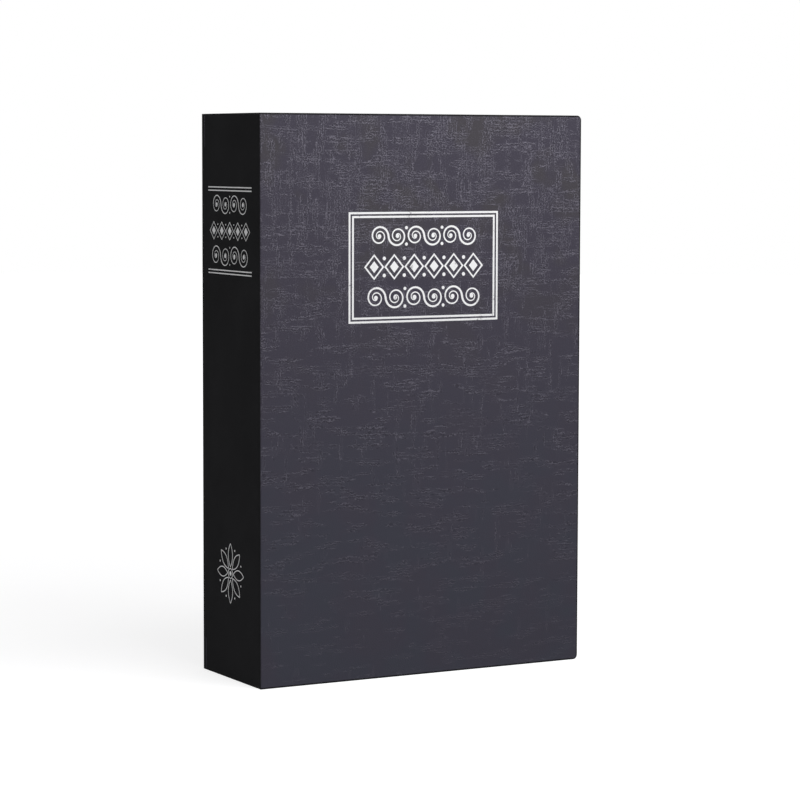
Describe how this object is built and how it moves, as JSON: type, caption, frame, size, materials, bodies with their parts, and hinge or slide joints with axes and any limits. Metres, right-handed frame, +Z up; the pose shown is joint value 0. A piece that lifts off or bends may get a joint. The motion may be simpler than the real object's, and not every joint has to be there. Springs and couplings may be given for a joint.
{
  "type": "book diversion safe",
  "caption": "Hardcover book that opens on a steel strongbox, with moulded page edges, a lid on a piano hinge and a cam lock behind a ledge.",
  "frame": {"origin": "middle of the footprint, on the surface that the closed book stands on", "axes": "+Z up to the head of the book, -Y out of the front cover, -X out of the spine"},
  "size_m": [0.156, 0.057, 0.24],
  "materials": {
    "cover_paper": "embossed, satin",
    "spine_cloth": "smooth, satin",
    "greyboard": "matte",
    "endpaper": "matte",
    "page_edges": "matte, ribbed",
    "black_steel": "powder coat",
    "zinc_steel": "zinc plated",
    "lock_chrome": "polished",
    "wafer_brass": "stamped",
    "mat_felt": "felt"
  },
  "bodies": {
    "book_body": {"back_board": "greyboard", "back_covering": "cover_paper", "back_endpaper": "endpaper", "spine_board": "greyboard", "spine_cloth": "spine_cloth", "spine_lining": "endpaper", "page_strip_head": "page_edges", "page_strip_tail": "page_edges", "page_strip_fore_edge": "page_edges", "strongbox_tray": "black_steel", "lid_ledge_head": "black_steel", "lid_ledge_tail": "black_steel", "lid_ledge_fore_edge": "black_steel", "floor_mat": "mat_felt", "tray_rivet_1": "zinc_steel", "tray_rivet_2": "zinc_steel", "tray_rivet_3": "zinc_steel", "tray_rivet_4": "zinc_steel", "hinge_leaf_fixed": "zinc_steel", "hinge_pin": "zinc_steel", "wall_rivet_1": "zinc_steel", "wall_rivet_2": "zinc_steel", "wall_rivet_3": "zinc_steel", "wall_rivet_4": "zinc_steel"},
    "front_cover": {"front_board": "greyboard", "front_covering": "cover_paper", "front_endpaper": "endpaper", "front_joint_cloth": "spine_cloth"},
    "lid": {"lid_panel": "black_steel", "hinge_leaf_moving": "zinc_steel", "lid_rivet_1": "zinc_steel", "lid_rivet_2": "zinc_steel", "lid_rivet_3": "zinc_steel", "lid_rivet_4": "zinc_steel", "lock_housing": "lock_chrome", "lock_washer": "zinc_steel", "lock_nut": "zinc_steel"},
    "lock_cylinder": {"lock_plug": "lock_chrome", "wafer_1": "wafer_brass", "wafer_2": "wafer_brass", "wafer_3": "wafer_brass", "wafer_4": "wafer_brass", "stop_washer": "zinc_steel", "lock_cam": "zinc_steel", "cam_screw": "zinc_steel"}
  },
  "joints": [
    {"name": "cover_hinge", "type": "hinge", "parent": "book_body", "child": "front_cover", "pos_m": [-0.078, -0.02485, 0.12], "axis": [0, 0, -1], "range_deg": [0, 170]},
    {"name": "lid_hinge", "type": "hinge", "parent": "book_body", "child": "lid", "pos_m": [-0.0717, -0.0224, 0.12], "axis": [0, 0, -1], "range_deg": [0, 102]},
    {"name": "lock_turn", "type": "hinge", "parent": "lid", "child": "lock_cylinder", "pos_m": [0.0555, -0.0203, 0.12], "axis": [0, 1, 0], "range_deg": [0, 90]}
  ],
  "couplings": [
    {"joint": "lid_hinge", "follows": "cover_hinge", "ratio": 0.6}
  ]
}
